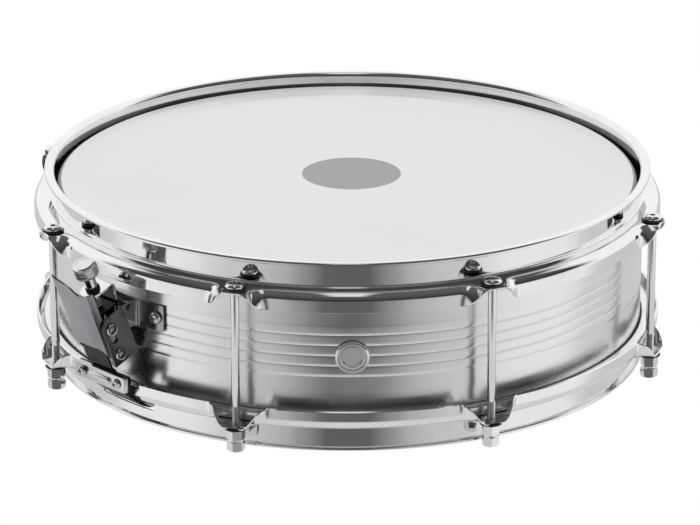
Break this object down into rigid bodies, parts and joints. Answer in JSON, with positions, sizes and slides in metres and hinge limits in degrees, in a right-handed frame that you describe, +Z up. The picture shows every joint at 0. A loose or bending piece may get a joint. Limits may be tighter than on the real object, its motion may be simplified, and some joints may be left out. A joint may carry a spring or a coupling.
{
  "type": "samba snare drum",
  "caption": "Shallow metal marching snare with beaded shell, flanged hoops, through rods, white head, snares and a lever strainer.",
  "frame": {"origin": "centre of the drum's bounding box on the plane that its lower rim stands on", "axes": "+Z up along the shell's axis, -X towards the strainer, +X towards the butt clamp"},
  "size_m": [0.4194, 0.3766, 0.114],
  "materials": {
    "chrome_steel": "polished chrome plate",
    "shell_aluminium": "satin, rolled beads",
    "nickel_steel": "bright nickel plate",
    "satin_steel": "dark satin",
    "black_steel": "black finish",
    "batter_film": "glossy white film",
    "snare_film": "clear hazy film",
    "spring_steel": "drawn wire",
    "strap_film": "matte strap"
  },
  "bodies": {
    "drum": {"shell": "shell_aluminium", "top_hoop": "chrome_steel", "bottom_hoop": "chrome_steel", "batter_head": "batter_film", "snare_head": "snare_film", "vent_grommet": "chrome_steel", "strainer_bracket": "satin_steel", "lever_pivot_pin": "nickel_steel", "butt_plate": "chrome_steel", "butt_clamp_plate": "chrome_steel", "snare_wires": "spring_steel", "butt_strap": "strap_film", "strainer_strap": "strap_film", "butt_clamp_screw_1": "nickel_steel", "butt_clamp_screw_2": "nickel_steel", "strainer_mount_screw_1": "nickel_steel", "strainer_mount_screw_2": "nickel_steel", "butt_mount_screw_1": "nickel_steel", "butt_mount_screw_2": "nickel_steel", "tension_rod_1": "chrome_steel", "tension_rod_2": "chrome_steel", "tension_rod_3": "chrome_steel", "tension_rod_4": "chrome_steel", "tension_rod_5": "chrome_steel", "tension_rod_6": "chrome_steel", "tension_rod_7": "chrome_steel", "tension_rod_8": "chrome_steel", "top_washer_1": "black_steel", "top_washer_2": "black_steel", "top_washer_3": "black_steel", "top_washer_4": "black_steel", "top_washer_5": "black_steel", "top_washer_6": "black_steel", "top_washer_7": "black_steel", "top_washer_8": "black_steel", "bottom_washer_1": "black_steel", "bottom_washer_2": "black_steel", "bottom_washer_3": "black_steel", "bottom_washer_4": "black_steel", "bottom_washer_5": "black_steel", "bottom_washer_6": "black_steel", "bottom_washer_7": "black_steel", "bottom_washer_8": "black_steel"},
    "lever": {"throw_lever": "chrome_steel"},
    "carriage": {"carriage": "chrome_steel", "cam_pin": "nickel_steel"},
    "knob": {"adjuster_knob": "chrome_steel", "adjuster_screw": "nickel_steel"},
    "snare_clamp": {"tension_plate": "black_steel", "strainer_clamp_plate": "chrome_steel", "strainer_clamp_screw_1": "nickel_steel", "strainer_clamp_screw_2": "nickel_steel"},
    "nut_1": {"tension_nut_1": "chrome_steel"},
    "nut_2": {"tension_nut_2": "chrome_steel"},
    "nut_3": {"tension_nut_3": "chrome_steel"},
    "nut_4": {"tension_nut_4": "chrome_steel"},
    "nut_5": {"tension_nut_5": "chrome_steel"},
    "nut_6": {"tension_nut_6": "chrome_steel"},
    "nut_7": {"tension_nut_7": "chrome_steel"},
    "nut_8": {"tension_nut_8": "chrome_steel"}
  },
  "joints": [
    {"name": "lever_throw", "type": "hinge", "parent": "drum", "child": "lever", "pos_m": [-0.17965, 0, 0.04531], "axis": [0, -1, 0], "range_deg": [0, 70]},
    {"name": "carriage_drop", "type": "slide", "parent": "drum", "child": "carriage", "axis": [0.3649, 0, -0.9311], "range_m": [0, 0.0075], "deforming": ["strainer_strap"]},
    {"name": "knob_turn", "type": "hinge", "parent": "carriage", "child": "knob", "pos_m": [-0.19004, 0, 0.08828], "axis": [-0.3649, 0, 0.9311], "range_deg": [-1440, 540]},
    {"name": "clamp_slide", "type": "slide", "parent": "carriage", "child": "snare_clamp", "axis": [-0.3649, 0, 0.9311], "range_m": [-0.0013, 0.0033]},
    {"name": "nut_turn_1", "type": "hinge", "parent": "drum", "child": "nut_1", "pos_m": [-0.15695, -0.0858, 0.0075], "axis": [0, 0, 1], "continuous": true},
    {"name": "nut_turn_2", "type": "hinge", "parent": "drum", "child": "nut_2", "pos_m": [-0.04695, -0.17975, 0.0075], "axis": [0, 0, 1], "continuous": true},
    {"name": "nut_turn_3", "type": "hinge", "parent": "drum", "child": "nut_3", "pos_m": [0.09726, -0.1684, 0.0075], "axis": [0, 0, 1], "continuous": true},
    {"name": "nut_turn_4", "type": "hinge", "parent": "drum", "child": "nut_4", "pos_m": [0.1912, -0.0584, 0.0075], "axis": [0, 0, 1], "continuous": true},
    {"name": "nut_turn_5", "type": "hinge", "parent": "drum", "child": "nut_5", "pos_m": [0.17985, 0.0858, 0.0075], "axis": [0, 0, 1], "continuous": true},
    {"name": "nut_turn_6", "type": "hinge", "parent": "drum", "child": "nut_6", "pos_m": [0.06986, 0.17975, 0.0075], "axis": [0, 0, 1], "continuous": true},
    {"name": "nut_turn_7", "type": "hinge", "parent": "drum", "child": "nut_7", "pos_m": [-0.07435, 0.1684, 0.0075], "axis": [0, 0, 1], "continuous": true},
    {"name": "nut_turn_8", "type": "hinge", "parent": "drum", "child": "nut_8", "pos_m": [-0.1683, 0.0584, 0.0075], "axis": [0, 0, 1], "continuous": true}
  ],
  "couplings": [
    {"joint": "carriage_drop", "follows": "lever_throw", "m_per_rad": 0.006138},
    {"joint": "clamp_slide", "follows": "knob_turn", "m_per_rad": -0.00012732}
  ]
}
